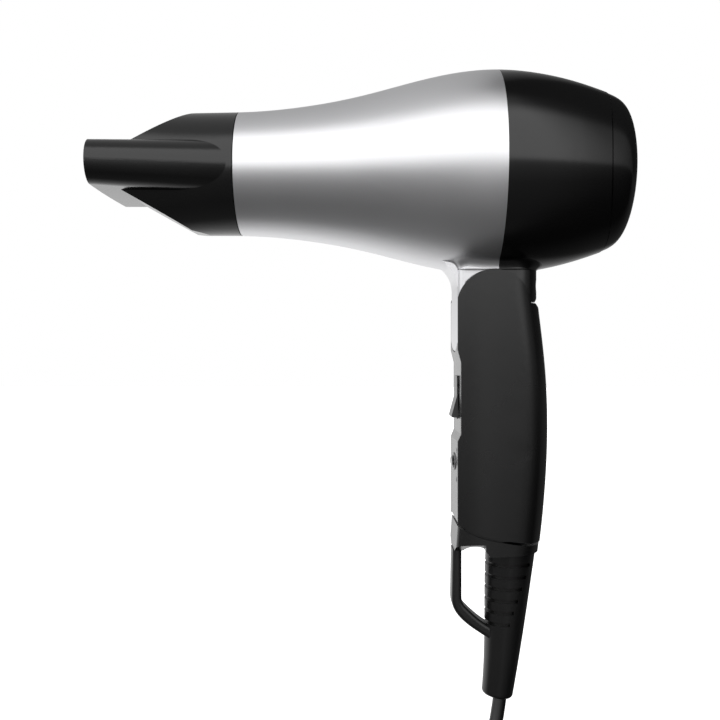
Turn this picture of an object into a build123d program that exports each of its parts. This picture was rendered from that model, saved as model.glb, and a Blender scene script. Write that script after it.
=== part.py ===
"""Folding hair dryer: barrel head on a hinged handle, concentrator nozzle, mains lead and plug.

Millimetres.  +Z up, the nozzle points to -X, the air intake is at +X.
Origin: the middle of the handle's grip.
"""
import os
from math import cos, pi, radians, sin, tan

from build123d import *

os.makedirs("parts", exist_ok=True)

# ---------------------------------------------------------------- driving dimensions
AXIS_Z = 104.4            # height of the barrel's axis above the grip centre
WALL = 2.2                # barrel wall
SCREW_HEAD_R = 2.4
MOUTH_X = -110.1          # front end of the barrel, where the nozzle seats
SPLIT_X = -3.8            # joint plane of the front and rear shells
CAP_X = 41.0              # seam of the intake cap
BARREL = [(MOUTH_X, 25.6), (-85, 27.5), (-60, 31.8), (-35, 38.0), (SPLIT_X, 42.1), (20, 39.3), (CAP_X, 33.1)]
CAP_END_X = 51.8          # rear end of the domed intake grille
SEAM_R = 145.0            # the cap's seam is curved in plan

PIVOT_X, PIVOT_Z = -5.5, 47.5   # fold axis, along Y
FACE_X = -20.2            # front face of tongue and switch panel
SEAT_X = -17.2            # back of the tongue strip and of the switch panel
ARCH_R = 15.2             # round top of the handle's cheeks
KNUCKLE_R = 14.6          # head's knuckle between the cheeks
BOSS_R, CORE_W = 9.0, 11.0      # its side bosses, and half width of its core
TONGUE_W = 14.0           # half width of tongue and switch panel
TIP_R, TIP_SIDE_R = 22.85, 19.6   # reach of the tongue's rounded tip, at its middle and sides
SHELF_Z = 62.9            # underside of the neck's wide part
NOTCH_Z = 49.7            # lower edge of the neck at the rear
NECK_W = 16.5             # half width of the neck's wide part
NECK_REAR_X = 13.6        # rear of the neck

GRIP_W = 17.0             # half width of the handle
GRIP_FRONT_X = FACE_X     # front edge of the handle shell's sides
GRIP_WALL = 2.5
GRIP_TAPER = 2.1          # how much narrower the handle is at its front
# height, rear of the handle's spine
GRIP_REAR = [(66, 13.4), (47, 14.7), (27, 17.0), (5, 18.3), (-16, 18.0), (-41, 16.1), (-58, 13.9)]
FOOT_LINE = [(FACE_X, -40.6), (-15.3, -43.3), (-1.2, -47.0), (12.6, -48.6)]   # lower edge of the handle

KNOB_Z = 8.5              # middle of the speed slider's travel
KNOB_TRAVEL = 3.5         # each way
COOL_Z = -16.7            # centre of the cool-shot button

CORD_D = 5.8
COIL_R = 35.0             # middle of the coil's turns
COIL_LAYERS, COIL_ROWS = 2, 4     # places for turns in the bundle
COIL_TURNS = 7 + 30 / 360
COIL_PACK = 5.9           # distance between neighbouring turns
COIL_X, COIL_Z = 19.0, -176.0
LEAD_ROUTE = [(-0.9, 0, -115.5), (-3.2, -2.4, -130.0), (-9.3, -6.9, -144.5), (-16.2, -9.3, -157.2),
              (-18.4, -8.9, -169.5)]
TAIL_ROUTE = [(-11.2, -8.9, -186.6), (-7.4, -15.0, -198.5), (-4.6, -17.2, -213.0), (-2.8, -15.2, -228.0),
              (-2.8, -15.2, -243.0)]
PIN_R, PIN_LENGTH, PIN_PITCH = 2.4, 19.0, 19.0   # two-pin mains plug
PIN_ROOT_R = 1.8          # the pins' roots, moulded into the plug

# ---------------------------------------------------------------- frames and helpers
AXIAL = Plane(origin=(0, 0, AXIS_Z), x_dir=(1, 0, 0), z_dir=(0, -1, 0))      # (x, radius)
BARREL_AXIS = Axis((0, 0, AXIS_Z), (1, 0, 0))
HINGE = Plane(origin=(PIVOT_X, 0, PIVOT_Z), x_dir=(0, 1, 0), z_dir=(1, 0, 0))   # (y, radius)
HINGE_AXIS = Axis((PIVOT_X, 0, PIVOT_Z), (0, 1, 0))


def across(x):
    """A plane square to the barrel's axis at x: local x along Y, local y up."""
    return Plane(origin=(x, 0, AXIS_Z), x_dir=(0, 1, 0), z_dir=(1, 0, 0))


def save(builder, label):
    builder.part.label = label
    export_step(builder.part, f"parts/{label}.step")


def barrel_radius(x):
    """Outer radius of the barrel at x."""
    line = Spline(*BARREL, tangents=[(1, 0.02), (1, -0.36)])
    low, high = 0.0, 1.0
    for _ in range(30):
        middle = (low + high) / 2
        low, high = (middle, high) if (line @ middle).X < x else (low, middle)
    return (line @ low).Y


def ring(x0, x1, outer, inner, mode=Mode.ADD):
    """A plain tube on the barrel's axis, inside a BuildPart."""
    with BuildSketch(across(x0)) as section:
        Circle(outer)
        if inner:
            Circle(inner, mode=Mode.SUBTRACT)
    extrude(section.sketch, amount=x1 - x0, mode=mode)


def d_section(half_width, front_x, rear_x, taper):
    """Open-fronted D on the XY plane: straight front edge, sides that swell by taper, rounded spine."""
    corner_x = rear_x - 0.72 * half_width
    with BuildSketch() as section:
        with BuildLine() as outline:
            Line((front_x, 0), (front_x, half_width - taper))
            if taper:
                tangents = [(1, 0.16 * taper), (1, 0)]
                Spline((front_x, half_width - taper), (corner_x, half_width), tangents=tangents)
            else:
                Line((front_x, half_width), (corner_x, half_width))
            Spline((corner_x, half_width), (rear_x - 0.2 * half_width, 0.745 * half_width), (rear_x, 0),
                   tangents=[(1, 0), (0, -1)])
            mirror(outline.line, about=Plane.XZ)
        make_face()
    return section.sketch


# ---------------------------------------------------------------- head: shells
def barrel_solid(inset, front_x, rear_x):
    """The barrel's body of revolution, drawn inset from its outer surface, inside a BuildPart."""
    line_points = [(x, r - inset) for x, r in BARREL]
    line_points[0] = (front_x, line_points[0][1])
    line_points[-1] = (rear_x, line_points[-1][1])
    with BuildSketch(AXIAL) as profile:
        with BuildLine():
            Spline(*line_points, tangents=[(1, 0.02), (1, -0.36)])
            Polyline(line_points[-1], (rear_x, 0), (front_x, 0), line_points[0])
        make_face()
    revolve(profile.sketch, axis=BARREL_AXIS)


def neck_section(z, half_width, rear_x, corner):
    """The neck's section: flat front with rounded corners, rounded rear."""
    with BuildSketch(Plane.XY.offset(z)) as section:
        add(d_section(half_width, FACE_X, rear_x, 0))
        fillet(section.vertices().group_by(Axis.X)[0], corner)
    return section.sketch


def tip_solid(gap):
    """Everything that the tongue's rounded tip sweeps as the head folds."""
    with BuildSketch(HINGE) as profile:
        with BuildLine():
            side = TONGUE_W + 0.4
            Polyline((-side, TIP_SIDE_R + gap), (-side, 0), (side, 0), (side, TIP_SIDE_R + gap))
            ThreePointArc((side, TIP_SIDE_R + gap), (0, TIP_R + gap), (-side, TIP_SIDE_R + gap))
        make_face()
    revolve(profile.sketch, axis=HINGE_AXIS)


with BuildPart() as tip:
    tip_solid(0)

with BuildPart() as tongue:
    with BuildSketch(Plane.XZ):
        with Locations(((FACE_X + SEAT_X) / 2, 36)):
            Rectangle(SEAT_X - FACE_X, 30)
        with Locations((PIVOT_X, PIVOT_Z)):
            Circle(KNUCKLE_R)
    extrude(amount=TONGUE_W, both=True)
    add(tip.part, mode=Mode.INTERSECT)

# room beside the knuckle for the handle's cheeks
with BuildPart() as cheek_pockets:
    for side in (-1, 1):
        with BuildSketch(Plane.XZ.offset(side * CORE_W)):
            with Locations((PIVOT_X, PIVOT_Z)):
                Circle(ARCH_R + 0.3)
                Circle(BOSS_R, mode=Mode.SUBTRACT)
            with Locations((SEAT_X - 5, PIVOT_Z)):
                Rectangle(10, 40, mode=Mode.SUBTRACT)
        extrude(amount=side * 10)

with BuildPart() as head_body:
    barrel_solid(0, MOUTH_X, CAP_X)
    extrude(neck_section(SHELF_Z, NECK_W, NECK_REAR_X, 5), amount=12)
    joint_edges = head_body.edges().filter_by(GeomType.BSPLINE).filter_by(
        lambda e: SHELF_Z + 0.2 < e.center().Z < 76 and abs(e.center().X) < 22)
    fillet(joint_edges, 4.0)
    extrude(neck_section(NOTCH_Z, TONGUE_W, NECK_REAR_X + 0.3, 3), amount=20)
    add(tongue.part)
    with BuildSketch(Plane.XZ):                        # the tongue's front flares into the barrel
        with BuildLine():
            Spline((FACE_X, 56.0), (FACE_X - 1.5, 61.8), (FACE_X - 8.6, 67.6), tangents=[(0, 1), (-1, 0.35)])
            back_x = FACE_X + 2
            Polyline((FACE_X - 8.6, 67.6), (FACE_X - 8.6, 70), (back_x, 70), (back_x, 56.0), (FACE_X, 56.0))
        make_face()
    extrude(amount=TONGUE_W - 1.5, both=True)
    add(cheek_pockets.part, mode=Mode.SUBTRACT)
    with BuildSketch(Plane.XZ):
        with BuildLine():
            Polyline((11.5, NOTCH_Z - 0.6), (20, NOTCH_Z - 0.6), (20, 60.5), (11.5, NOTCH_Z - 0.6))
        make_face()
    extrude(amount=20, both=True, mode=Mode.SUBTRACT)

PASSAGE_X, PASSAGE_W = 8.5, 21.0           # wire passage through the neck: its rear wall, its width
PIN_BORE_R = 4.05                         # hinge bores in the knuckle
with BuildPart() as head_hollow:
    barrel_solid(WALL, MOUTH_X - 1, CAP_X + 1)
    with BuildSketch(Plane.XY.offset(24)):
        with Locations(((SEAT_X + PASSAGE_X) / 2, 0)):
            Rectangle(PASSAGE_X - SEAT_X, PASSAGE_W)
    extrude(amount=60)
    with BuildSketch(Plane.XZ):
        with Locations((PIVOT_X, PIVOT_Z)):
            Circle(PIN_BORE_R)
    extrude(amount=20, both=True)

BOSSES = [(-5, 57), (5, 57)]              # y, z of the neck's two screws
SCREW_SEAT_X = 10.0                       # where their heads sit in the rear shell
BOSS_PLANE = Plane(origin=(0, 0, 0), x_dir=(0, 1, 0), z_dir=(1, 0, 0))

with BuildPart() as front_shell:
    add(head_body.part)
    add(head_hollow.part, mode=Mode.SUBTRACT)
    split(bisect_by=Plane.YZ.offset(SPLIT_X), keep=Keep.BOTTOM)
    with BuildSketch(BOSS_PLANE.offset(SEAT_X - 0.5)):
        with Locations(*BOSSES):
            Circle(2.7)
    extrude(amount=SPLIT_X - SEAT_X + 0.5)
    with BuildSketch(BOSS_PLANE.offset(SPLIT_X)):
        with Locations(*BOSSES):
            Circle(1.3)
    extrude(amount=-10, mode=Mode.SUBTRACT)
save(front_shell, "front_shell")


def seam_column(radius):
    """A tall cylinder whose wall runs along the cap's seam."""
    with BuildPart() as column:
        with BuildSketch(Plane.XY.offset(40)):
            with Locations((CAP_X - SEAM_R, 0)):
                Circle(radius)
        extrude(amount=130)
    return column.part


with BuildPart() as rear_shell:
    add(head_body.part)
    add(seam_column(SEAM_R), mode=Mode.INTERSECT)
    add(head_hollow.part, mode=Mode.SUBTRACT)
    split(bisect_by=Plane.YZ.offset(SPLIT_X), keep=Keep.TOP)
    with BuildSketch(BOSS_PLANE.offset(SPLIT_X)):
        with Locations(*BOSSES):
            Circle(2.7)
    extrude(amount=SCREW_SEAT_X - 1 - SPLIT_X)
    with BuildSketch(BOSS_PLANE.offset(SPLIT_X)):
        with Locations(*BOSSES):
            Circle(1.6)
    extrude(amount=30, mode=Mode.SUBTRACT)
    with BuildSketch(BOSS_PLANE.offset(SCREW_SEAT_X)):
        with Locations(*BOSSES):
            Circle(SCREW_HEAD_R + 0.3)
    extrude(amount=12, mode=Mode.SUBTRACT)
    lip = barrel_radius(SPLIT_X) - WALL - 0.15      # spigot that centres the front shell
    ring(SPLIT_X - 3, SPLIT_X + 6, lip, lip - 1.4)
    ring(SPLIT_X, SPLIT_X + 6, lip + 0.6, lip - 0.4)
    with BuildSketch(Plane.XY.offset(62)):
        Rectangle(2 * PASSAGE_X, PASSAGE_W)
    extrude(amount=14, mode=Mode.SUBTRACT)
save(rear_shell, "rear_shell")

# ---------------------------------------------------------------- head: air path and heater
def add_screw(plane, head_depth, length, shank_r=1.25):
    """A pan-head screw whose head sits on the plane and whose shank runs back from it."""
    with BuildSketch(plane) as head:
        Circle(SCREW_HEAD_R)
    head_solid = extrude(head.sketch, amount=head_depth)
    fillet(head_solid.faces().sort_by(Axis(plane.origin, plane.z_dir))[-1].edges(), 0.5)
    with BuildSketch(plane) as shank:
        Circle(shank_r)
    extrude(shank.sketch, amount=-length)
    with BuildSketch(plane.offset(head_depth)) as cross:
        Rectangle(2.8, 0.7)
        Rectangle(0.7, 2.8)
    extrude(cross.sketch, amount=-0.9, mode=Mode.SUBTRACT)


with BuildPart() as neck_screws:
    for y, z in BOSSES:
        add_screw(Plane(origin=(SCREW_SEAT_X, y, z), x_dir=(0, 1, 0), z_dir=(1, 0, 0)), 1.5, 20)
save(neck_screws, "neck_screws")

GRILLE_X, GRILLE_R = -96.5, 23.9
with BuildPart() as outlet_grille:
    ring(GRILLE_X, GRILLE_X + 3, GRILLE_R, GRILLE_R - 2)
    for radius in (3.6, 9.2, 15.0):
        ring(GRILLE_X, GRILLE_X + 3, radius + 0.7, radius - 0.7)
    with BuildSketch(across(GRILLE_X)):
        with PolarLocations(13.0, 8):
            Rectangle(18.8, 1.2)
    extrude(amount=3)
save(outlet_grille, "outlet_grille")

SHIELD_R, SHIELD_X0, SHIELD_X1 = 23.0, -90.0, -27.0
with BuildPart() as heat_shield:
    ring(SHIELD_X0, SHIELD_X1, SHIELD_R, SHIELD_R - 0.5)
save(heat_shield, "heat_shield")

FORMER_R, FORMER_X0, FORMER_X1, MICA = 16.6, -88.0, -29.0, 0.8
with BuildPart() as heater_former:
    for normal in ((0, 1, 0), (0, 0, 1)):
        plane = Plane(origin=(0, 0, AXIS_Z), x_dir=(1, 0, 0), z_dir=normal)
        with BuildSketch(plane) as board:
            with Locations(((FORMER_X0 + FORMER_X1) / 2, 0)):
                Rectangle(FORMER_X1 - FORMER_X0, 2 * FORMER_R)
            with Locations((FORMER_X0 + 2, 0), (FORMER_X1 - 2, 0)):
                Rectangle(4, 2 * (SHIELD_R - 0.7))
        extrude(board.sketch, amount=MICA / 2, both=True)
save(heater_former, "heater_former")

COIL_COUNT, COIL_PITCH, WIRE_R = 9, 5.6, 0.7
with BuildPart() as heater_coils:
    for index in range(COIL_COUNT):
        with BuildSketch(AXIAL) as wire:
            with Locations((FORMER_X0 + 8 + index * COIL_PITCH, FORMER_R + 0.2 + WIRE_R)):
                Circle(WIRE_R)
        revolve(wire.sketch, axis=BARREL_AXIS)
save(heater_coils, "heater_coils")

with BuildPart() as thermostat:
    with Locations((-42, 6.2, AXIS_Z + 3.4)):
        Box(11, 7, 5)
    with BuildSketch(Plane.XY.offset(AXIS_Z + 5.9)):
        with Locations((-42, 6.2)):
            Circle(3)
    extrude(amount=1.4)
save(thermostat, "thermostat")

with BuildPart() as thermal_fuse:
    with BuildSketch(Plane(origin=(-50, -6, AXIS_Z - 5), x_dir=(0, 1, 0), z_dir=(1, 0, 0))):
        Circle(1.7)
    extrude(amount=11)
    with BuildSketch(Plane(origin=(-58, -6, AXIS_Z - 5), x_dir=(0, 1, 0), z_dir=(1, 0, 0))):
        Circle(0.5)
    extrude(amount=27)
save(thermal_fuse, "thermal_fuse")

# ---------------------------------------------------------------- head: motor and fan
MOTOR_R, MOTOR_X0, MOTOR_X1 = 12.4, -12.0, 15.0
DUCT_R, DUCT_X1 = 31.2, 34.5
SHAFT_R = 1.15
FAN_X0, FAN_X1, FAN_R, HUB_R = 20.0, 32.0, 29.2, 10.5

def add_blades(count, x, chord, thickness, root_r, tip_r, pitch):
    """Flat blades set round the barrel's axis and turned by pitch about their own radius."""
    blade = Box(chord, thickness, tip_r - root_r, mode=Mode.PRIVATE)
    for index in range(count):
        turned = Rot(X=360 / count * index) * Pos(0, 0, (root_r + tip_r) / 2) * Rot(Z=pitch) * blade
        add(Pos(x, 0, AXIS_Z) * turned)


with BuildPart() as motor:
    ring(MOTOR_X0, MOTOR_X1, MOTOR_R, 0)
    fillet(motor.edges().filter_by(GeomType.CIRCLE), 1.2)
    ring(MOTOR_X1, MOTOR_X1 + 1.6, 3.4, 0)
    ring(MOTOR_X0 - 2, MOTOR_X1 + 4, SHAFT_R + 0.05, 0, mode=Mode.SUBTRACT)
save(motor, "motor")

with BuildPart() as motor_shaft:
    ring(MOTOR_X0 + 1, FAN_X1 - 2, SHAFT_R, 0)
save(motor_shaft, "motor_shaft")

with BuildPart() as motor_carrier:
    ring(-6, DUCT_X1, DUCT_R, DUCT_R - 1.3)
    ring(MOTOR_X0 + 2, MOTOR_X1 + 0.3, MOTOR_R + 1.8, MOTOR_R + 0.15)
    ring(MOTOR_X1 + 0.3, MOTOR_X1 + 1.8, MOTOR_R + 1.8, 4.0)
    add_blades(9, 5, 16, 1.4, MOTOR_R + 1.2, DUCT_R - 0.8, 22)
save(motor_carrier, "motor_carrier")

with BuildPart() as rectifier_board:
    ring(MOTOR_X0 - 4.4, MOTOR_X0 - 3.2, 11.2, 1.8)
    with BuildSketch(across(MOTOR_X0 - 4.4)):
        with PolarLocations(6.4, 4, start_angle=45):
            Rectangle(5.2, 2.8)
    extrude(amount=-2.8)
    with BuildSketch(across(MOTOR_X0 - 3.2)):
        with PolarLocations(9.0, 2):
            Circle(0.9)
    extrude(amount=3.2)
save(rectifier_board, "rectifier_board")

with BuildPart() as fan_impeller:
    ring(FAN_X0, FAN_X1, HUB_R, 0)
    fillet(fan_impeller.edges().filter_by(GeomType.CIRCLE).sort_by(Axis.X)[-1], 3.5)
    ring(FAN_X0 - 1, FAN_X1 - 1.6, SHAFT_R, 0, mode=Mode.SUBTRACT)
    ring(FAN_X0 - 1, FAN_X1 - 4, HUB_R - 1.6, 3.4, mode=Mode.SUBTRACT)
    add_blades(7, (FAN_X0 + FAN_X1) / 2, 15.4, 1.3, HUB_R - 1, FAN_R + 1.5, -42)
    with BuildSketch(across(FAN_X0)):
        Circle(FAN_R)
    extrude(amount=FAN_X1 - FAN_X0, mode=Mode.INTERSECT)
save(fan_impeller, "fan_impeller")

# ---------------------------------------------------------------- intake cap
SPIGOT_R = 30.0
GRILLE_OPEN_R = 24.0


def cap_dome(inset):
    """Outline of the cap as a solid of revolution, drawn inset from its outer surface."""
    start, end = (CAP_X - 5, barrel_radius(CAP_X - 5) - 0.25 - inset), (CAP_END_X - inset, 0)
    with BuildSketch(AXIAL) as profile:
        with BuildLine():
            Spline(start, (CAP_X, BARREL[-1][1] - 0.25 - inset), (47.2 - 0.7 * inset, 29.2 - 0.7 * inset),
                   (CAP_END_X - 1.6 - inset, 21.5 - inset), end, tangents=[(1, -0.33), (0, -1)])
            Polyline(end, (CAP_X - 5, 0), start)
        make_face()
    return profile.sketch


with BuildPart() as grille_bars:
    for radius in (4.5, 8.5, 12.5, 16.5, 20.5):
        ring(CAP_X, CAP_END_X + 2, radius + 0.75, radius - 0.75)
    with BuildSketch(across(CAP_X)):
        with PolarLocations(14.0, 12):
            Rectangle(23.0, 1.3)
        Circle(3.0)
    extrude(amount=CAP_END_X + 2 - CAP_X)

with BuildPart() as cap_window:
    ring(CAP_X, CAP_END_X + 2, GRILLE_OPEN_R - 0.8, 0)
    add(grille_bars.part, mode=Mode.SUBTRACT)

with BuildPart() as intake_grille:
    revolve(cap_dome(0), axis=BARREL_AXIS)
    revolve(cap_dome(2.0), axis=BARREL_AXIS, mode=Mode.SUBTRACT)
    add(cap_window.part, mode=Mode.SUBTRACT)
    add(seam_column(SEAM_R + 0.35), mode=Mode.SUBTRACT)
    ring(36.5, CAP_X + 2.4, SPIGOT_R, SPIGOT_R - 1.4)
    ring(CAP_X + 0.35, CAP_X + 2.0, SPIGOT_R + 1.6, SPIGOT_R - 1.4)
save(intake_grille, "intake_grille")

with BuildPart() as filter_mesh:
    ring(CAP_X + 2.6, CAP_X + 4.4, 26.2, 24.4)
    ring(CAP_X + 3.2, CAP_X + 3.7, 24.6, 0)
save(filter_mesh, "filter_mesh")

# ---------------------------------------------------------------- concentrator nozzle
LIP_X = -167.4
LIP_W, LIP_H = 34.2, 8.7          # half width and half height at the lip
THROAT_X, THROAT_W, THROAT_H = -112.6, 25.2, 11.0     # the duct where it leaves the collar
COLLAR_R = 25.6
CONE = [(MOUTH_X - 0.35, COLLAR_R), (-120, 23.9), (-134, 21.0), (-161, 16.4)]   # x, half width
WEDGE_X0, WEDGE_X1, WEDGE_H = -126.0, -158.0, 8.6     # sloping top and bottom faces, half height at their end
NOZZLE_WALL = 1.7
LIP_BOW = 1.0
RING_R = 23.15                    # outside of the snap ring, inside of the nozzle's collar
RING_X = -119.5                   # front end of the snap ring


def duct_section(x, half_width, half_height):
    """A flat duct with fully rounded sides, square to the barrel's axis."""
    with BuildSketch(across(x)) as section:
        RectangleRounded(2 * half_width, 2 * half_height, half_height - 0.01)
    return section.sketch


def cone_solid(inset):
    """The part behind the duct: narrows in plan to the front, cut to sloping faces above and below."""
    with BuildPart() as solid:
        for x, half_width in CONE:
            with BuildSketch(across(x)):
                Ellipse(half_width - inset, COLLAR_R - inset)
        loft()
        with BuildSketch(Plane.XZ):
            with BuildLine():
                top, end = COLLAR_R - inset, WEDGE_H - inset
                upper = [(MOUTH_X + 1, top + 0.1), (WEDGE_X0 + 3, top + 0.1)]
                upper += [(WEDGE_X0 - 4, top - 1.2), (WEDGE_X1, end)]
                Polyline(*[(x, AXIS_Z + z) for x, z in upper], *[(x, AXIS_Z - z) for x, z in reversed(upper)],
                         (upper[0][0], AXIS_Z + upper[0][1]))
            make_face()
        extrude(amount=40, both=True, mode=Mode.INTERSECT)
    return solid.part


def nozzle_solid(inset):
    """Cone and flared flat duct in one solid, drawn inset from the outer surface."""
    with BuildPart() as solid:
        add(cone_solid(inset))
        rear = duct_section(THROAT_X, THROAT_W - inset, THROAT_H - inset)
        middle = duct_section((THROAT_X + LIP_X) / 2, (THROAT_W + LIP_W) / 2 - inset, 9.8 - inset)
        front = duct_section(LIP_X - 2 - inset, LIP_W - inset, LIP_H - inset)
        loft([rear, middle, front])
    return solid.part


bow_r = (LIP_W ** 2 + LIP_BOW ** 2) / (2 * LIP_BOW)
with BuildPart() as nozzle:
    add(nozzle_solid(0))
    with BuildSketch(Plane.XY.offset(AXIS_Z)):
        with Locations((LIP_X + bow_r, 0)):
            Circle(bow_r)
    extrude(amount=60, both=True, mode=Mode.INTERSECT)
    add(nozzle_solid(NOZZLE_WALL), mode=Mode.SUBTRACT)
    ring(RING_X - 0.3, MOUTH_X + 2, RING_R + 0.08, 0, mode=Mode.SUBTRACT)
save(nozzle, "concentrator_nozzle")

with BuildPart() as nozzle_ring:
    ring(RING_X, -99.5, RING_R, RING_R - 1.4)
    with BuildSketch(across(-99.5)):
        with PolarLocations(RING_R - 0.2, 4):
            Rectangle(2.6, 1.0)
    extrude(amount=-9.5, mode=Mode.SUBTRACT)
save(nozzle_ring, "nozzle_ring")

# ---------------------------------------------------------------- handle: shell
def grip_loft(inset, front_x, taper=GRIP_TAPER):
    """The whole handle, from above the pivot to below the end cap."""
    with BuildPart() as solid:
        for z, rear_x in GRIP_REAR:
            with BuildSketch(Plane.XY.offset(z)):
                add(d_section(GRIP_W - inset, front_x, rear_x - inset, taper))
        loft()
    return solid.part


def side_profile(points, half_width=30, arcs=()):
    """A slab across the handle whose outline, in x and z, runs through the points."""
    with BuildPart() as slab:
        with BuildSketch(Plane.XZ):
            with BuildLine():
                Polyline(*points, points[0])
            make_face()
            for x, z, radius in arcs:
                with Locations((x, z)):
                    Circle(radius)
        extrude(amount=half_width, both=True)
    return slab.part


grip_outer = grip_loft(0, GRIP_FRONT_X)
grip_inner = grip_loft(GRIP_WALL, GRIP_FRONT_X - 8, 0.3)


def above_foot(drop, top):
    """Everything above the curved seam between the handle shell and the end cap, lowered by drop."""
    line = [(x, z - drop) for x, z in [(-30, -34.6), *FOOT_LINE, (25, -49.2)]]
    with BuildPart() as slab:
        with BuildSketch(Plane.XZ):
            with BuildLine():
                Spline(*line)
                Polyline(line[-1], (25, top), (-30, top), line[0])
            make_face()
        extrude(amount=30, both=True)
    return slab.part


shell_outline = side_profile(
    [(-30, PIVOT_Z), (-30, -60), (25, -60), (25, 38.2), (11.9, 49.2), (PIVOT_X, 49.2), (PIVOT_X, PIVOT_Z)],
    arcs=[(PIVOT_X, PIVOT_Z, ARCH_R)])
DISH_DEPTH = 1.3                           # shallow dish across the front, round the slider
dish = side_profile(
    [(FACE_X - 5, 30.0), (FACE_X, 30.0), (FACE_X + DISH_DEPTH, 25.0), (FACE_X + DISH_DEPTH, -4.2),
     (FACE_X, -7.2), (FACE_X - 5, -7.2)])

with BuildPart() as tip_sweep:
    tip_solid(0.35)

with BuildPart() as tip_room:
    with BuildSketch(Plane.XZ):
        with Locations((-4, 34)):
            Rectangle(36, 28)
    extrude(amount=30, both=True)
    add(tip_sweep.part, mode=Mode.INTERSECT)
    add(grip_loft(1.1, GRIP_FRONT_X - 8), mode=Mode.INTERSECT)

CLAMP_X, CLAMP_Z, CLAMP_SCREW_Y = 1.0, -34.0, 7.0
CLAMP_PLANE = Plane(origin=(CLAMP_X, 0, CLAMP_Z), x_dir=(0, 1, 0), z_dir=(1, 0, 0))
PIN_RADIUS, PIN_TIP_Y = 4.0, 11.6          # hinge pins: their radius and how near the middle they reach
with BuildPart() as handle_shell:
    add(grip_outer)
    add(shell_outline, mode=Mode.INTERSECT)
    add(above_foot(0, 80), mode=Mode.INTERSECT)
    add(grip_inner, mode=Mode.SUBTRACT)
    add(dish, mode=Mode.SUBTRACT)
    add(tip_room.part, mode=Mode.SUBTRACT)
    with BuildSketch(Plane.XZ):                        # room for the head's knuckle
        with Locations((PIVOT_X, PIVOT_Z)):
            Circle(ARCH_R + 0.1)
    extrude(amount=CORE_W + 0.35, both=True, mode=Mode.SUBTRACT)
    with BuildSketch(Plane.XZ):                        # blind sockets for the hinge pins
        with Locations((PIVOT_X, PIVOT_Z)):
            Circle(PIN_RADIUS)
    extrude(amount=GRIP_W - 1.2, both=True, mode=Mode.SUBTRACT)
    with BuildSketch(CLAMP_PLANE):                     # bosses that the cord clamp screws to
        with GridLocations(2 * CLAMP_SCREW_Y, 1, 2, 1):
            Circle(2.6)
    extrude(until=Until.NEXT)
    with BuildSketch(CLAMP_PLANE):
        with GridLocations(2 * CLAMP_SCREW_Y, 1, 2, 1):
            Circle(1.3)
    extrude(amount=9, mode=Mode.SUBTRACT)
save(handle_shell, "handle_shell")

with BuildPart() as hinge_pins:
    for side in (-1, 1):
        with BuildSketch(Plane.XZ.offset(side * PIN_TIP_Y)):
            with Locations((PIVOT_X, PIVOT_Z)):
                Circle(PIN_RADIUS)
                Circle(PIN_RADIUS - 1.6, mode=Mode.SUBTRACT)
        extrude(amount=side * (GRIP_W - 1.2 - PIN_TIP_Y))
save(hinge_pins, "hinge_pins")

# ---------------------------------------------------------------- handle: switch panel
PANEL_FOOT_Z = -40.0
FRONT = Plane(origin=(FACE_X, 0, 0), x_dir=(0, -1, 0), z_dir=(-1, 0, 0))     # (-y, z), facing the user
COOL_W, COOL_H = 13.6, 7.4                 # bezel ring, outside
KNOB_W, KNOB_H = 12.4, 17.9
STEM_W, STEM_H = 5.0, 6.0

with BuildPart() as switch_panel:
    with BuildSketch(FRONT):
        with Locations((0, (PANEL_FOOT_Z + 33) / 2)):
            Rectangle(2 * TONGUE_W, 33 - PANEL_FOOT_Z)
    extrude(amount=-(SEAT_X - FACE_X))
    fillet(switch_panel.edges().filter_by(Axis.Z).sort_by(Axis.X)[:2], 0.5)
    add(tip_sweep.part, mode=Mode.SUBTRACT)
    add(dish, mode=Mode.SUBTRACT)
    with BuildSketch(FRONT):                                   # slot for the slider's stem
        with Locations((0, KNOB_Z)):
            Rectangle(STEM_W + 0.7, STEM_H + 2 * KNOB_TRAVEL + 0.7)
    extrude(amount=-10, mode=Mode.SUBTRACT)
    with BuildSketch(FRONT):                                   # seat of the bezel ring
        with Locations((0, COOL_Z)):
            Ellipse(COOL_W / 2, COOL_H / 2)
    extrude(amount=-10, mode=Mode.SUBTRACT)
save(switch_panel, "switch_panel")

with BuildPart() as button_bezel:
    with BuildSketch(FRONT.offset(-3.0)):
        with Locations((0, COOL_Z)):
            Ellipse(COOL_W / 2 - 0.05, COOL_H / 2 - 0.05)
            Ellipse(COOL_W / 2 - 1.1, COOL_H / 2 - 1.1, mode=Mode.SUBTRACT)
    extrude(amount=3.5)
    fillet(button_bezel.faces().sort_by(Axis.X)[0].edges(), 0.4)
save(button_bezel, "button_bezel")

with BuildPart() as cool_button:
    with BuildSketch(FRONT.offset(-2.6)):
        with Locations((0, COOL_Z)):
            Ellipse(COOL_W / 2 - 1.4, COOL_H / 2 - 1.4)
    extrude(amount=4.0)
    fillet(cool_button.faces().sort_by(Axis.X)[0].edges(), 0.9)
    with BuildSketch(FRONT.offset(-2.6)):
        with Locations((0, COOL_Z)):
            Circle(1.0)
    extrude(amount=-2.6)
save(cool_button, "cool_button")

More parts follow.
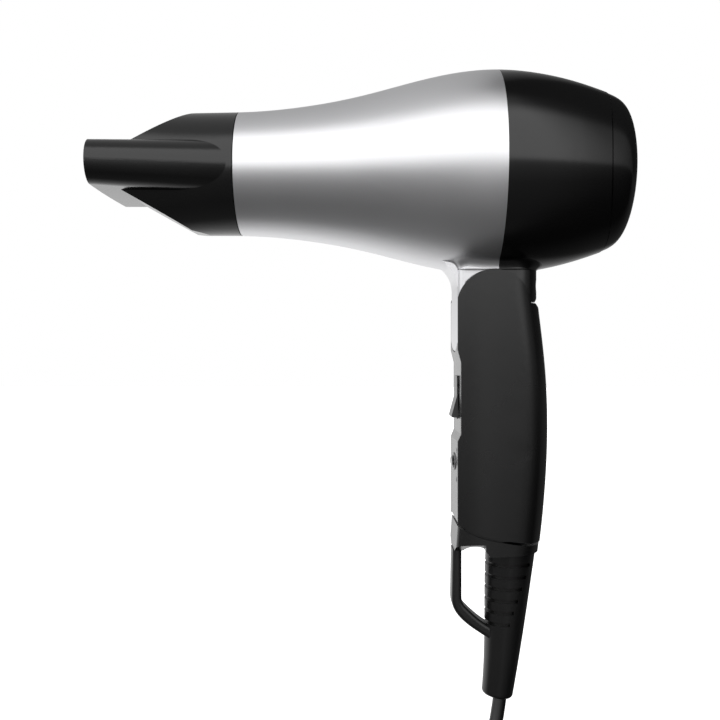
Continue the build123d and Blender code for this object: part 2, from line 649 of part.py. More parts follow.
with BuildPart() as speed_knob:
    with BuildSketch(Plane.XZ):
        with BuildLine():
            base, skin = FACE_X + DISH_DEPTH - 0.3, FACE_X + 0.5
            low, high = KNOB_Z + 2 - KNOB_H / 2, KNOB_Z + 2 + KNOB_H / 2
            ridge_top, ridge_low = KNOB_Z + 2.4, KNOB_Z - 6.4
            Polyline((base, high), (skin, high), (skin, ridge_top), (FACE_X - 1.7, ridge_low + 0.8),
                     (FACE_X - 1.5, ridge_low), (skin, ridge_low), (skin, low), (base, low), (base, high))
        make_face()
    extrude(amount=KNOB_W / 2, both=True)
    fillet(speed_knob.edges().filter_by(Axis.Y).sort_by(Axis.X)[:2], 0.35)
    with BuildSketch(FRONT.offset(-DISH_DEPTH + 0.3)):
        with Locations((0, KNOB_Z)):
            Rectangle(STEM_W, STEM_H)
    extrude(amount=-(SEAT_X - FACE_X - DISH_DEPTH + 1.2))
save(speed_knob, "speed_knob")

# ---------------------------------------------------------------- handle: switches, board, clamp
SWITCH_X0, SWITCH_DEPTH, SWITCH_W, SWITCH_H = -13.6, 12.0, 15.0, 21.0
with BuildPart() as speed_switch:
    with Locations((SWITCH_X0 + SWITCH_DEPTH / 2, 0, KNOB_Z)):
        Box(SWITCH_DEPTH, SWITCH_W, SWITCH_H)
    with BuildSketch(Plane(origin=(SWITCH_X0, 0, KNOB_Z), x_dir=(0, 1, 0), z_dir=(-1, 0, 0))):
        Rectangle(4.0, 13.6)
    extrude(amount=-5, mode=Mode.SUBTRACT)
    with BuildSketch(Plane(origin=(SWITCH_X0 + SWITCH_DEPTH, 0, KNOB_Z), x_dir=(0, 1, 0), z_dir=(1, 0, 0))):
        with GridLocations(8, 7, 2, 3):
            Rectangle(0.8, 3.2)
    extrude(amount=5)
save(speed_switch, "speed_switch")

with BuildPart() as switch_lever:
    with Locations(((SEAT_X + 1.3 + SWITCH_X0 + 4) / 2, 0, KNOB_Z)):
        Box(SWITCH_X0 + 4 - SEAT_X - 1.3, 3.2, 4.4)
save(switch_lever, "switch_lever")

with BuildPart() as cool_switch:
    with Locations((-9.2, 0, COOL_Z)):
        Box(8, 13, 10)
    with BuildSketch(Plane(origin=(-5.2, 0, COOL_Z), x_dir=(0, 1, 0), z_dir=(1, 0, 0))):
        with GridLocations(7, 1, 2, 1):
            Rectangle(0.8, 3.0)
    extrude(amount=5)
save(cool_switch, "cool_switch")

with BuildPart() as button_spring:
    with BuildLine() as coil:
        Helix(pitch=0.85, height=3.4, radius=1.7, center=(SEAT_X - 0.1, 0, COOL_Z), direction=(1, 0, 0))
    with BuildSketch(Plane(origin=coil.line @ 0, z_dir=coil.line % 0)):
        Circle(0.2)
    sweep()
save(button_spring, "button_spring")

with BuildPart() as terminal_board:
    with Locations((7.5, 0, 2)):
        Box(1.6, 22, 40)
    with BuildSketch(Plane(origin=(8.3, 0, 0), x_dir=(0, 1, 0), z_dir=(1, 0, 0))):
        with Locations((-5, 11), (5, 11)):
            Rectangle(7, 11)
        with Locations((0, -8)):
            Circle(5.2)
    extrude(amount=4.5)
save(terminal_board, "terminal_board")

INNER_CORD_X = 4.2
with BuildPart() as inner_cord:
    with BuildSketch(Plane.XY.offset(-46.2)):
        with Locations((INNER_CORD_X, 0)):
            Circle(CORD_D / 2)
    extrude(amount=18.2)
    with BuildSketch(Plane.XY.offset(-28)):
        with Locations((INNER_CORD_X, -1.4), (INNER_CORD_X, 1.4)):
            Circle(1.1)
    extrude(amount=9)
save(inner_cord, "inner_cord")

with BuildPart() as cord_clamp:
    with Locations((CLAMP_X - 1.4, 0, CLAMP_Z)):
        Box(2.6, 20, 6.4)
    with BuildSketch(Plane.XY.offset(CLAMP_Z - 5)):
        with Locations((INNER_CORD_X, 0)):
            Circle(CORD_D / 2 + 0.05)
    extrude(amount=10, mode=Mode.SUBTRACT)
    with BuildSketch(CLAMP_PLANE.offset(-6)):
        with GridLocations(2 * CLAMP_SCREW_Y, 1, 2, 1):
            Circle(1.5)
    extrude(amount=12, mode=Mode.SUBTRACT)
save(cord_clamp, "cord_clamp")

with BuildPart() as clamp_screws:
    for y in (-CLAMP_SCREW_Y, CLAMP_SCREW_Y):
        add_screw(Plane(origin=(CLAMP_X - 2.75, y, CLAMP_Z), x_dir=(0, 1, 0), z_dir=(-1, 0, 0)), 1.6, 10)
save(clamp_screws, "clamp_screws")

# ---------------------------------------------------------------- handle: end cap and cord guard
CAP_FOOT_Z = -53.2
SEAM = 1.1                                  # open groove between shell and end cap
CAP_FLOOR_Z = -47.9
# cord guard's sections: height, front edge, rear edge, half width across
GUARD = [(-52.6, -6.9, 13.9, 10.9), (-64.0, -7.3, 12.3, 10.0), (-88.0, -7.5, 8.8, 8.2)]
GUARD_END = Plane(origin=(-2.3, 0, -115.3), x_dir=(-0.988, 0, 0.156), z_dir=(-0.156, 0, -0.988))
GUARD_END_R = 6.5
RIB_PITCH, RIB_GAP, RIB_DEPTH, RIB_TOP_Z = 4.95, 1.5, 1.5, -58.9


GUARD_NECK_X, GUARD_NECK, GUARD_FLANGE = 1.8, (6.8, 9.0), (8.0, 10.4)     # its top, held in the end cap


def guard_loft(inset):
    """The tapered guard as a smooth solid, drawn inset from its surface."""
    with BuildPart() as solid:
        for z, front_x, rear_x, half_width in GUARD:
            with BuildSketch(Plane.XY.offset(z)):
                with Locations(((front_x + rear_x) / 2, 0)):
                    Ellipse((rear_x - front_x) / 2 - inset, half_width - inset)
        with BuildSketch(GUARD_END):
            Ellipse(GUARD_END_R - inset, GUARD_END_R - 0.1 - inset)
        loft()
    return solid.part


def guard_ellipse(radii, z, height, gap=0.0, mode=Mode.ADD):
    """An elliptical disc on the guard's neck, inside a BuildPart."""
    with BuildSketch(Plane.XY.offset(z)) as section:
        with Locations((GUARD_NECK_X, 0)):
            Ellipse(radii[0] + gap, radii[1] + gap)
    extrude(section.sketch, amount=height, mode=mode)


guard_outer = guard_loft(0)
guard_core = guard_loft(RIB_DEPTH)

with BuildPart() as end_cap:
    for (z, rear_x), front_x in zip(GRIP_REAR[-2:], (FACE_X + 0.2, FACE_X - 1.0)):
        with BuildSketch(Plane.XY.offset(z)) as section:
            add(d_section(GRIP_W - 0.2, front_x, rear_x - 0.2, GRIP_TAPER))
            fillet(section.vertices().group_by(Axis.X)[0], 3.0)
    loft()
    with BuildSketch(Plane.XZ):
        with BuildLine():
            Polyline((-7.4, CAP_FOOT_Z - 0.6), (20, CAP_FOOT_Z + 0.6), (20, -30), (-26, -30),
                     (-26, CAP_FOOT_Z + 0.1), (-17.2, CAP_FOOT_Z + 0.1))
            tangents = [(0.35, 1), (0.5, -1)]
            Spline((-17.2, CAP_FOOT_Z + 0.1), (-12.4, -50.0), (-7.4, CAP_FOOT_Z - 0.6), tangents=tangents)
        make_face()
    extrude(amount=30, both=True, mode=Mode.INTERSECT)
    add(above_foot(SEAM, 0), mode=Mode.SUBTRACT)
    for side in (-1, 1):                               # the skirt narrows towards the hanging loop
        with BuildSketch(Plane.YZ.offset(-27)):
            with BuildLine():
                outer_y = side * 18
                inner_y = side * 5.4
                Polyline((outer_y, -48.3), (outer_y, -58), (inner_y, -58), (inner_y, -53.7), (outer_y, -48.3))
            make_face()
        extrude(amount=18.0, mode=Mode.SUBTRACT)
    with BuildSketch(Plane.XY.offset(CAP_FLOOR_Z)):
        add(d_section(GRIP_W - 4.6, SEAT_X + 1.8, 10.6, 0.9))
    extrude(amount=30, mode=Mode.SUBTRACT)
    add(guard_loft(-0.1), mode=Mode.SUBTRACT)
    guard_ellipse(GUARD_NECK, -60, 20, gap=0.1, mode=Mode.SUBTRACT)
with BuildPart() as cap_spigot:
    with BuildSketch(Plane.XY.offset(CAP_FLOOR_Z)):
        add(d_section(GRIP_W - GRIP_WALL - 0.3, SEAT_X + 0.3, 12.2, 0.9))
        add(d_section(GRIP_W - 4.6, SEAT_X + 1.8, 10.6, 0.9), mode=Mode.SUBTRACT)
    extrude(amount=10.8)
with BuildPart() as end_cap_whole:
    add(end_cap.part)
    add(cap_spigot.part)
save(end_cap_whole, "end_cap")

with BuildPart() as hang_strap:
    with BuildSketch(Plane.XZ):
        with BuildLine():
            top = CAP_FOOT_Z + 0.1
            Polyline((-17.5, -73.0), (-17.5, top), (-21.3, top), (-21.7, -73.5))
            tangents = [(0, -1), (0.8, -0.6)]
            Spline((-21.7, -73.5), (-19.3, -80.4), (-12.6, -86.4), (-5.5, -91.2), tangents=tangents)
            Line((-5.5, -91.2), (-3.6, -86.6))
            tangents = [(-0.8, 0.45), (0, 1)]
            Spline((-3.6, -86.6), (-9.0, -83.3), (-15.3, -77.8), (-17.5, -73.0), tangents=tangents)
        make_face()
    extrude(amount=5, both=True)
    fillet(hang_strap.faces().sort_by(Axis.Y)[-1].edges().sort_by(Axis.Z)[1:-1], 1.6)
    fillet(hang_strap.faces().sort_by(Axis.Y)[0].edges().sort_by(Axis.Z)[1:-1], 1.6)

with BuildPart() as cord_guard:
    add(guard_outer)
    fillet(cord_guard.edges().sort_by(Axis.Z)[0], 1.8)
    for index in range(6):
        height = RIB_TOP_Z - index * RIB_PITCH
        reach = 22.4 - 1.7 * index                    # the slots get shorter towards the cord
        with Locations((-12 + reach / 2, 0, height)):
            Box(reach, 40, RIB_GAP, mode=Mode.SUBTRACT)
    add(guard_core)
    add(hang_strap.part)
    guard_ellipse(GUARD_NECK, -56, 56 + CAP_FLOOR_Z + 0.1)
    guard_ellipse(GUARD_FLANGE, CAP_FLOOR_Z + 0.1, 1.5)
save(cord_guard, "cord_guard")

# ---------------------------------------------------------------- mains lead
def route_radii(points):
    """One arc radius for each corner: 0.45 of the shorter run, over the tangent of half the turn."""
    runs = [Vector(*b) - Vector(*a) for a, b in zip(points, points[1:])]
    return [0.45 * min(u.length, v.length) / tan(radians(u.get_angle(v) / 2)) for u, v in zip(runs, runs[1:])]


def cord_tube(points, label):
    radii = route_radii(points)
    with BuildPart() as tube:
        with BuildLine() as path:
            FilletPolyline(*points, radius=radii)
        with BuildSketch(Plane(origin=path.line @ 0, z_dir=path.line % 0)):
            Circle(CORD_D / 2)
        sweep()
    length = sum(edge.length for edge in path.line.edges())
    expected = length * pi * CORD_D ** 2 / 4
    print(label, "radii", [round(r, 1) for r in radii], "length", round(length, 1))
    print(label, "volume", round(tube.part.volume, 1), "of", round(expected, 1))
    save(tube, label)


cord_tube(LEAD_ROUTE, "cord_lead")
cord_tube(TAIL_ROUTE, "cord_tail")

COIL_AXIS = Axis((COIL_X, 0, COIL_Z), (0, 1, 0))
COIL_DEPTH, COIL_WIDTH = COIL_LAYERS * COIL_PACK, COIL_ROWS * COIL_PACK


def coil_plane(angle):
    """A plane across the coil's bundle: local x outwards, local y along -Y."""
    outward = Vector(cos(radians(angle)), 0, sin(radians(angle)))
    along = Vector(-sin(radians(angle)), 0, cos(radians(angle)))
    return Plane(origin=Vector(COIL_X, 0, COIL_Z) + outward * COIL_R, x_dir=outward, z_dir=along)


with BuildPart() as cord_coil:
    with BuildSketch(coil_plane(0)):
        RectangleRounded(COIL_DEPTH, COIL_WIDTH, CORD_D / 2 - 0.1)
    revolve(axis=COIL_AXIS)
save(cord_coil, "cord_coil")

TIE_ANGLE, TIE_WIDTH, TIE_THICK = 78, 10.0, 1.3
with BuildPart() as cord_tie:
    with BuildSketch(coil_plane(TIE_ANGLE)):
        RectangleRounded(COIL_DEPTH + 1.2 + 2 * TIE_THICK, COIL_WIDTH + 0.6 + 2 * TIE_THICK, 4)
        RectangleRounded(COIL_DEPTH + 1.2, COIL_WIDTH + 0.6, 2.8, mode=Mode.SUBTRACT)
    extrude(amount=TIE_WIDTH / 2, both=True)
save(cord_tie, "cord_tie")
print("cord length in the coil", round(2 * pi * COIL_R * COIL_TURNS))

# ---------------------------------------------------------------- plug
PLUG_X, PLUG_Y, PLUG_TOP = TAIL_ROUTE[-1]
SLEEVE, PLUG_H = 24.0, 23.0


def plug_plane(drop):
    """A plane facing down, square to the plug, drop below the top of its sleeve."""
    return Plane(origin=(PLUG_X, PLUG_Y, PLUG_TOP - drop), x_dir=(1, 0, 0), z_dir=(0, 0, -1))


with BuildPart() as plug_body:
    with BuildSketch(plug_plane(0)):
        Circle(CORD_D / 2 + 1.1)
    with BuildSketch(plug_plane(SLEEVE + 2)):
        Circle(6.6)
    loft()
    for index in range(5):
        with BuildSketch(plug_plane(3 + 3.6 * index)):
            Circle(9)
            Circle(CORD_D / 2 + 0.7 + 0.42 * index, mode=Mode.SUBTRACT)
        extrude(amount=1.5, mode=Mode.SUBTRACT)
    with BuildSketch(plug_plane(SLEEVE)):
        RectangleRounded(22, 15, 6)
    with BuildSketch(plug_plane(SLEEVE + 9)):
        RectangleRounded(34, 25, 11)
    with BuildSketch(plug_plane(SLEEVE + PLUG_H)):
        RectangleRounded(37, 28, 13)
    loft()
    fillet(plug_body.faces().sort_by(Axis.Z)[0].outer_wire().edges(), 1.2)
    with BuildSketch(plug_plane(SLEEVE + PLUG_H)):
        with GridLocations(PIN_PITCH, 1, 2, 1):
            Circle(PIN_ROOT_R)
    extrude(amount=-8, mode=Mode.SUBTRACT)
save(plug_body, "plug_body")

with BuildPart() as plug_pins:
    with BuildSketch(plug_plane(SLEEVE + PLUG_H)):
        with GridLocations(PIN_PITCH, 1, 2, 1):
            Circle(PIN_R)
    extrude(amount=PIN_LENGTH)
    with BuildSketch(plug_plane(SLEEVE + PLUG_H)):
        with GridLocations(PIN_PITCH, 1, 2, 1):
            Circle(PIN_ROOT_R)
    extrude(amount=-8)
    fillet(plug_pins.edges().group_by(Axis.Z)[0], 1.4)
save(plug_pins, "plug_pins")
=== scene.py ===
"""Looks of the folding hair dryer: materials, mains cord, small printed marks, studio and camera."""

from math import cos, pi, radians, sin

import bpy
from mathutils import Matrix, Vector


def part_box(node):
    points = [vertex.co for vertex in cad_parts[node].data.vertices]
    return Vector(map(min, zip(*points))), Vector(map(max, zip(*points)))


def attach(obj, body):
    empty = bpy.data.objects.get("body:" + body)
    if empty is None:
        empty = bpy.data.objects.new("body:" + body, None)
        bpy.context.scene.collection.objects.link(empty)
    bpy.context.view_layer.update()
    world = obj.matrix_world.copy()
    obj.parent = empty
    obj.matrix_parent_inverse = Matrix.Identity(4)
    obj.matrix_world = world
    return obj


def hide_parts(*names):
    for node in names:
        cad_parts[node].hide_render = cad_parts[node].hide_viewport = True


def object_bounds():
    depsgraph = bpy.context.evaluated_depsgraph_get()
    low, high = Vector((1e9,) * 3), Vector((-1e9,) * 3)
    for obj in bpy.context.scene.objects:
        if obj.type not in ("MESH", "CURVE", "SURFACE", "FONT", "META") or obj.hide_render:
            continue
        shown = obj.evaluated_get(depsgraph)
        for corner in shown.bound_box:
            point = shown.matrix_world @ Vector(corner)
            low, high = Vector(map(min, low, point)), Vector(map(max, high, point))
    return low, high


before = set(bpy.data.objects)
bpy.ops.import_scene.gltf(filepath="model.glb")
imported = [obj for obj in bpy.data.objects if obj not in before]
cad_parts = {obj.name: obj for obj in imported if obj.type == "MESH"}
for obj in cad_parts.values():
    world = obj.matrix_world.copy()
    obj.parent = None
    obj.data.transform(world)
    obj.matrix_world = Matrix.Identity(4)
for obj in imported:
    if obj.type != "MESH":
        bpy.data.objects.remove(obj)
cad_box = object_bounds()
MM = 0.001

# ---------------------------------------------------------------- camera
CAMERA_AT = Vector((-0.0558, -0.3635, 0.026))
CAMERA_YAW = radians(0.67)
LENS, SENSOR = 42.92, 36.0


def make_camera():
    data = bpy.data.cameras.new("camera")
    data.lens, data.sensor_width = LENS, SENSOR
    data.clip_start, data.clip_end = 0.01, 50
    camera = bpy.data.objects.new("camera", data)
    bpy.context.collection.objects.link(camera)
    camera.location = CAMERA_AT
    camera.rotation_euler = (radians(90), 0, CAMERA_YAW)
    bpy.context.scene.camera = camera


make_camera()

# ---------------------------------------------------------------- mains cord
CORD_D = 5.8
COIL_R, COIL_PACK = 35.0, 5.9
COIL_X, COIL_Z = 19.0, -176.0
LEAD_ROUTE = [(-0.9, 0, -115.5), (-3.2, -2.4, -130.0), (-9.3, -6.9, -144.5), (-16.2, -9.3, -157.2),
              (-18.4, -8.9, -169.5)]
TAIL_ROUTE = [(-11.2, -8.9, -186.6), (-7.4, -15.0, -198.5), (-4.6, -17.2, -213.0), (-2.8, -15.2, -228.0),
              (-2.8, -15.2, -243.0)]
COIL_START, COIL_END = 180, 2710        # degrees travelled round the coil, from the lead to the tail
OUTER_STEP = (405, 485)                 # the first sideways step of the outer layer, in the same degrees
LAYER_STEP = (1460, 1520)               # the step down to the inner layer
INNER_STEP = (1730, 1820)               # the first sideways step back along the inner layer
SIDE_STEPS = 3                          # between four turns side by side
POINTS_PER_TURN = 24


def ease(value, start, end):
    """0 before start, 1 after end, smooth between."""
    t = min(max((value - start) / (end - start), 0), 1)
    return t * t * (3 - 2 * t)


def side_steps(angle, first):
    """How many turns the cord has moved sideways, one step a turn from the first."""
    start, end = first
    return sum(ease(angle, start + 360 * turn, end + 360 * turn) for turn in range(SIDE_STEPS))


def coil_point(angle):
    """Four turns side by side in the outer layer, then back through the inner layer, stepping once a turn."""
    row = side_steps(angle, OUTER_STEP) - side_steps(angle, INNER_STEP)
    layer = 0.5 - ease(angle, *LAYER_STEP)
    radius = (COIL_R + COIL_PACK * layer) / cos(pi / POINTS_PER_TURN)
    turn = radians(angle)
    across = (row - SIDE_STEPS / 2) * COIL_PACK
    return (COIL_X + radius * cos(turn), across, COIL_Z + radius * sin(turn))


def make_cord():
    step = 360 / POINTS_PER_TURN
    count = int((COIL_END - COIL_START) / step)
    coil = [coil_point(COIL_START + step * index) for index in range(count + 1)]
    points = LEAD_ROUTE + coil + TAIL_ROUTE
    data = bpy.data.curves.new("mains_cord", "CURVE")
    data.dimensions = "3D"
    data.bevel_depth = 1.0         # times each point's radius, which Blender adds to the curve's box
    data.bevel_resolution = 6
    data.resolution_u = 6
    spline = data.splines.new("NURBS")
    spline.points.add(len(points) - 1)
    for target, point in zip(spline.points, points):
        target.co = (*(Vector(point) * MM), 1)
        target.radius = CORD_D / 2 * MM
    spline.order_u = 3
    spline.use_endpoint_u = True
    cord = bpy.data.objects.new("mains_cord", data)
    bpy.context.collection.objects.link(cord)
    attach(cord, "handle")
    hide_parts("cord_lead", "cord_coil", "cord_tail")
    return cord


cord = make_cord()

# ---------------------------------------------------------------- materials
DRIFT_SCALE = 22               # soft changes of colour and roughness, about 45 mm across
FLAKE_SCALE = 5200
FLAKE_STRENGTH = 0.05
WEAVE_SCALE = 420


def new_material(name):
    """A material with its principled shader, ready for nodes."""
    material = bpy.data.materials.new(name)
    material.use_nodes = True
    nodes, links = material.node_tree.nodes, material.node_tree.links
    return material, nodes, links, nodes["Principled BSDF"]


def plastic(name, dark, light, roughness, spread, grain_scale, grain_depth, coat=0.0, metallic=0.0):
    """Moulded or painted plastic: soft colour drift, roughness drift and a fine grain in the surface."""
    material, nodes, links, shader = new_material(name)
    place = nodes.new("ShaderNodeTexCoord")
    drift = nodes.new("ShaderNodeTexNoise")
    drift.inputs["Scale"].default_value = DRIFT_SCALE
    drift.inputs["Detail"].default_value = 3
    links.new(place.outputs["Object"], drift.inputs["Vector"])
    colour = nodes.new("ShaderNodeValToRGB")
    colour.color_ramp.elements[0].position, colour.color_ramp.elements[1].position = 0.3, 0.7
    colour.color_ramp.elements[0].color = (*dark, 1)
    colour.color_ramp.elements[1].color = (*light, 1)
    links.new(drift.outputs["Fac"], colour.inputs["Fac"])
    links.new(colour.outputs["Color"], shader.inputs["Base Color"])
    rough = nodes.new("ShaderNodeMapRange")
    rough.inputs["To Min"].default_value = roughness - spread
    rough.inputs["To Max"].default_value = roughness + spread
    links.new(drift.outputs["Fac"], rough.inputs["Value"])
    links.new(rough.outputs["Result"], shader.inputs["Roughness"])
    grain = nodes.new("ShaderNodeTexNoise")
    grain.inputs["Scale"].default_value = grain_scale
    grain.inputs["Detail"].default_value = 4
    links.new(place.outputs["Object"], grain.inputs["Vector"])
    bump = nodes.new("ShaderNodeBump")
    bump.inputs["Strength"].default_value = 0.5
    bump.inputs["Distance"].default_value = grain_depth
    links.new(grain.outputs["Fac"], bump.inputs["Height"])
    links.new(bump.outputs["Normal"], shader.inputs["Normal"])
    shader.inputs["Specular IOR Level"].default_value = 0.5
    shader.inputs["Coat Weight"].default_value = coat
    shader.inputs["Coat Roughness"].default_value = 0.08
    shader.inputs["Metallic"].default_value = metallic
    return material


def grey(value):
    return (value, value, value * 1.02)


def add_flakes(material):
    """Metal flakes of a silver lacquer: tiny cells that vary its brightness."""
    nodes, links = material.node_tree.nodes, material.node_tree.links
    shader = nodes["Principled BSDF"]
    base = shader.inputs["Base Color"].links[0].from_socket
    place = nodes.new("ShaderNodeTexCoord")
    cells = nodes.new("ShaderNodeTexVoronoi")
    cells.inputs["Scale"].default_value = FLAKE_SCALE
    links.new(place.outputs["Object"], cells.inputs["Vector"])
    mix = nodes.new("ShaderNodeMixRGB")
    mix.blend_type = "OVERLAY"
    mix.inputs["Fac"].default_value = FLAKE_STRENGTH
    links.new(base, mix.inputs["Color1"])
    links.new(cells.outputs["Color"], mix.inputs["Color2"])
    links.new(mix.outputs["Color"], shader.inputs["Base Color"])


def gauze(name):
    """Woven wire mesh: a fine grid, dark between its wires."""
    material, nodes, links, shader = new_material(name)
    place = nodes.new("ShaderNodeTexCoord")
    weave = None
    for axis in ("Y", "Z"):
        wave = nodes.new("ShaderNodeTexWave")
        wave.bands_direction = axis
        wave.inputs["Scale"].default_value = WEAVE_SCALE
        links.new(place.outputs["Object"], wave.inputs["Vector"])
        if weave:
            both = nodes.new("ShaderNodeMath")
            both.operation = "MAXIMUM"
            links.new(weave.outputs["Fac"], both.inputs[0])
            links.new(wave.outputs["Fac"], both.inputs[1])
        weave = wave
    colour = nodes.new("ShaderNodeValToRGB")
    colour.color_ramp.elements[0].position, colour.color_ramp.elements[1].position = 0.55, 0.75
    colour.color_ramp.elements[0].color = (0.004, 0.004, 0.004, 1)
    colour.color_ramp.elements[1].color = (0.10, 0.10, 0.10, 1)
    links.new(both.outputs[0], colour.inputs["Fac"])
    links.new(colour.outputs["Color"], shader.inputs["Base Color"])
    shader.inputs["Roughness"].default_value = 0.5
    shader.inputs["Metallic"].default_value = 0.3
    return material


materials = {
    "silver": plastic("silver_paint", grey(0.70), grey(0.74), 0.35, 0.02, 2600, 0.000006,
                      coat=0.10, metallic=0.94),
    "gloss": plastic("gloss_black", grey(0.0035), grey(0.0045), 0.15, 0.02, 300, 0.000004),
    "satin": plastic("satin_black", grey(0.0035), grey(0.0050), 0.27, 0.03, 1800, 0.000008),
    "panel": plastic("panel_black", grey(0.005), grey(0.007), 0.24, 0.03, 1500, 0.000008),
    "nozzle": plastic("nozzle_black", grey(0.0035), grey(0.0050), 0.18, 0.02, 900, 0.000006),
    "ring": plastic("ring_grey", grey(0.14), grey(0.17), 0.3, 0.03, 900, 0.000006),
    "knob": plastic("knob_grey", grey(0.035), grey(0.045), 0.32, 0.03, 1200, 0.000008),
    "rubber": plastic("soft_rubber", grey(0.0045), grey(0.0065), 0.33, 0.04, 1200, 0.000012),
    "jacket": plastic("cord_jacket", grey(0.0045), grey(0.0065), 0.30, 0.04, 900, 0.000012),
    "plug": plastic("plug_plastic", grey(0.006), grey(0.009), 0.38, 0.04, 900, 0.00002),
    "dark": plastic("inner_plastic", grey(0.02), grey(0.03), 0.5, 0.05, 900, 0.00003),
    "mica": plastic("mica", (0.42, 0.34, 0.22), (0.5, 0.42, 0.29), 0.45, 0.08, 500, 0.0001),
    "board": plastic("board", (0.30, 0.20, 0.08), (0.36, 0.25, 0.11), 0.5, 0.05, 700, 0.00003),
    "wire": plastic("wire", (0.35, 0.31, 0.27), (0.45, 0.4, 0.36), 0.35, 0.05, 900, 0.00002, metallic=1.0),
    "brass": plastic("brass", (0.55, 0.38, 0.14), (0.65, 0.46, 0.20), 0.3, 0.05, 900, 0.00002, metallic=1.0),
    "steel": plastic("steel", (0.5, 0.5, 0.5), (0.6, 0.6, 0.6), 0.28, 0.05, 900, 0.00002, metallic=1.0),
    "pins": plastic("nickel", (0.66, 0.65, 0.62), (0.74, 0.73, 0.70), 0.18, 0.04, 900, 0.000006,
                    metallic=1.0),
    "strap": plastic("tie_strap", grey(0.015), grey(0.025), 0.85, 0.05, 500, 0.0002),
    "print": plastic("printed_grey", grey(0.16), grey(0.20), 0.5, 0.05, 900, 0.00001),
    "gauze": gauze("filter_gauze"),
}
add_flakes(materials["silver"])

NODE_MATERIAL = {
    "front_shell": "silver", "rear_shell": "gloss", "intake_grille": "gloss", "concentrator_nozzle": "nozzle",
    "handle_shell": "satin", "switch_panel": "panel", "end_cap": "satin", "cord_guard": "rubber",
    "button_bezel": "ring", "cool_button": "gloss", "speed_knob": "knob", "cord_tie": "strap",
    "plug_body": "plug", "filter_mesh": "gauze", "inner_cord": "jacket", "thermostat": "brass",
    "plug_pins": "pins", "heat_shield": "mica", "heater_former": "mica",
    "heater_coils": "wire", "terminal_board": "board", "rectifier_board": "board", "motor": "steel",
    "motor_shaft": "steel", "neck_screws": "steel", "clamp_screws": "steel", "hinge_pins": "steel",
    "button_spring": "steel", "thermal_fuse": "steel",
}


def set_material(thing, material):
    slots = thing.data.materials
    slots.clear()
    slots.append(material)


for name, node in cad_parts.items():
    set_material(node, materials[NODE_MATERIAL.get(name, "dark")])
set_material(cord, materials["jacket"])

# ---------------------------------------------------------------- small printed marks beside the button
MARK_R, MARK_LINE_R, MARK_FLATNESS = 0.0009, 0.00022, 0.4
MARK_HEIGHTS, MARK_ACROSS = (-0.0112, -0.0231), -0.0100


def printed_mark(name, height, across):
    """A small plain ring printed on the switch panel, sunk a hair into it."""
    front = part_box("switch_panel")[0][0]
    bpy.ops.mesh.primitive_torus_add(major_radius=MARK_R, minor_radius=MARK_LINE_R, major_segments=32,
                                     minor_segments=8, location=(front, across, height),
                                     rotation=(0, pi / 2, 0))
    mark = bpy.context.object
    mark.name = name
    mark.scale = (1, 1, MARK_FLATNESS)
    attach(mark, "handle")
    set_material(mark, materials["print"])


for index, height in enumerate(MARK_HEIGHTS):
    printed_mark(f"button_mark_{index}", height, MARK_ACROSS)

# ---------------------------------------------------------------- studio
FLOOR_Z = cad_box[0][2] - 0.06         # the dryer hangs, so the floor is clear of its plug
FLOOR_SIZE, FLOOR_GLOW = 24, 0.9
LEVEL_MAX = 2.0                        # brightness that a ramp's white stands for
CAMERA_SEES = 1.0                      # brightness of the studio where the camera looks past the object


def make_floor():
    """One plain pale sheet, which neither lights the object nor shows in it."""
    bpy.ops.mesh.primitive_plane_add(size=FLOOR_SIZE, location=(0, 0, FLOOR_Z))
    floor = bpy.context.object
    floor.name = "floor"
    material, _, _, shader = new_material("floor")
    shader.inputs["Base Color"].default_value = (0.9, 0.9, 0.9, 1)
    shader.inputs["Roughness"].default_value = 0.8
    shader.inputs["Emission Color"].default_value = (1, 1, 1, 1)
    shader.inputs["Emission Strength"].default_value = FLOOR_GLOW
    set_material(floor, material)
    floor.visible_glossy = False
    floor.visible_diffuse = False


def ramp_of(nodes, links, source, stops):
    """Brightness against an angle in degrees, from -180 to 180, as a share of LEVEL_MAX."""
    place = nodes.new("ShaderNodeMapRange")
    place.inputs["From Min"].default_value = -pi
    place.inputs["From Max"].default_value = pi
    links.new(source, place.inputs["Value"])
    ramp = nodes.new("ShaderNodeValToRGB")
    elements = ramp.color_ramp.elements
    while len(elements) < len(stops):
        elements.new(0.5)
    for element, (degrees, level) in zip(elements, stops):
        element.position = (degrees + 180) / 360
        share = level / LEVEL_MAX
        element.color = (share, share, share, 1)
    links.new(place.outputs["Result"], ramp.inputs["Fac"])
    return ramp.outputs["Color"]


def angle_between(nodes, links, upper, lower):
    node = nodes.new("ShaderNodeMath")
    node.operation = "ARCTAN2"
    links.new(upper, node.inputs[0])
    links.new(lower, node.inputs[1])
    return node.outputs[0]


def blend(nodes, links, kind, first, second):
    """Two colours multiplied or added."""
    node = nodes.new("ShaderNodeMixRGB")
    node.blend_type = kind
    node.inputs["Fac"].default_value = 1
    links.new(first, node.inputs["Color1"])
    links.new(second, node.inputs["Color2"])
    return node.outputs["Color"]


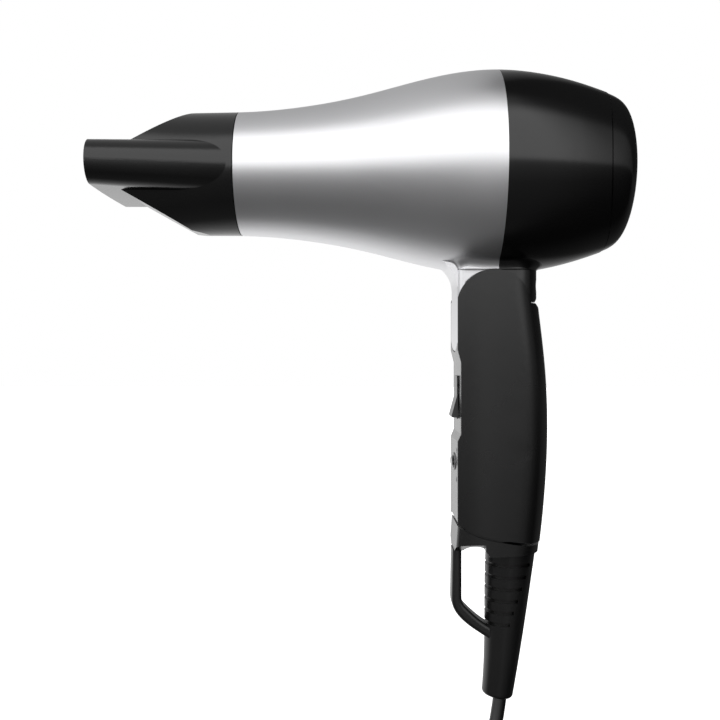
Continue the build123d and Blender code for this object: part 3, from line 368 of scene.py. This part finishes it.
# brightness round the horizontal X axis: 0 straight to the front, 90 overhead, 180 to the back
OVERHEAD = [(-180, 1.1), (-146, 1.1), (-120, 0.62), (-100, 0.16), (-60, 0.10), (-20, 0.16), (-4, 0.30),
            (3, 0.45), (7, 1.85), (60, 1.85), (72, 0.55), (140, 0.42), (166, 0.5), (180, 1.1)]
# a soft panel beside the camera: brightness up and down, and across
PANEL_UP = [(-60, 0), (-34, 0.10), (-12, 0.30), (0, 0.55), (3, 0)]
PANEL_ACROSS = [(-8, 0), (-3, 1.6), (5, 1.6), (10, 0)]
# brightness round the vertical axis: 0 to the front, 90 past the dryer's rear end, 180 to the back
SIDE = [(-180, 2), (32, 2), (58, 0.5), (80, 0.2), (150, 0.12), (166, 1.0), (172, 2)]


def make_world():
    """Soft studio dome of large panels, plain white to the camera itself."""
    world = bpy.data.worlds.new("studio")
    bpy.context.scene.world = world
    world.use_nodes = True
    nodes, links = world.node_tree.nodes, world.node_tree.links
    background = nodes["Background"]
    place = nodes.new("ShaderNodeTexCoord")
    parts = nodes.new("ShaderNodeSeparateXYZ")
    links.new(place.outputs["Generated"], parts.inputs["Vector"])
    front = nodes.new("ShaderNodeMath")
    front.operation = "MULTIPLY"
    front.inputs[1].default_value = -1
    links.new(parts.outputs["Y"], front.inputs[0])
    up = angle_between(nodes, links, parts.outputs["Z"], front.outputs[0])
    across = angle_between(nodes, links, parts.outputs["X"], front.outputs[0])
    layers = []
    for rising, turning in ((OVERHEAD, SIDE), (PANEL_UP, PANEL_ACROSS)):
        height = ramp_of(nodes, links, up, rising)
        direction = ramp_of(nodes, links, across, turning)
        layers.append(blend(nodes, links, "MULTIPLY", height, direction))
    total = blend(nodes, links, "ADD", *layers)
    rays = nodes.new("ShaderNodeLightPath")
    white = nodes.new("ShaderNodeMixRGB")
    plain = CAMERA_SEES / LEVEL_MAX
    white.inputs["Color2"].default_value = (plain, plain, plain, 1)
    links.new(rays.outputs["Is Camera Ray"], white.inputs["Fac"])
    links.new(total, white.inputs["Color1"])
    links.new(white.outputs["Color"], background.inputs["Color"])
    background.inputs["Strength"].default_value = LEVEL_MAX


make_floor()
make_world()
bpy.context.scene.view_settings.view_transform = "Standard"
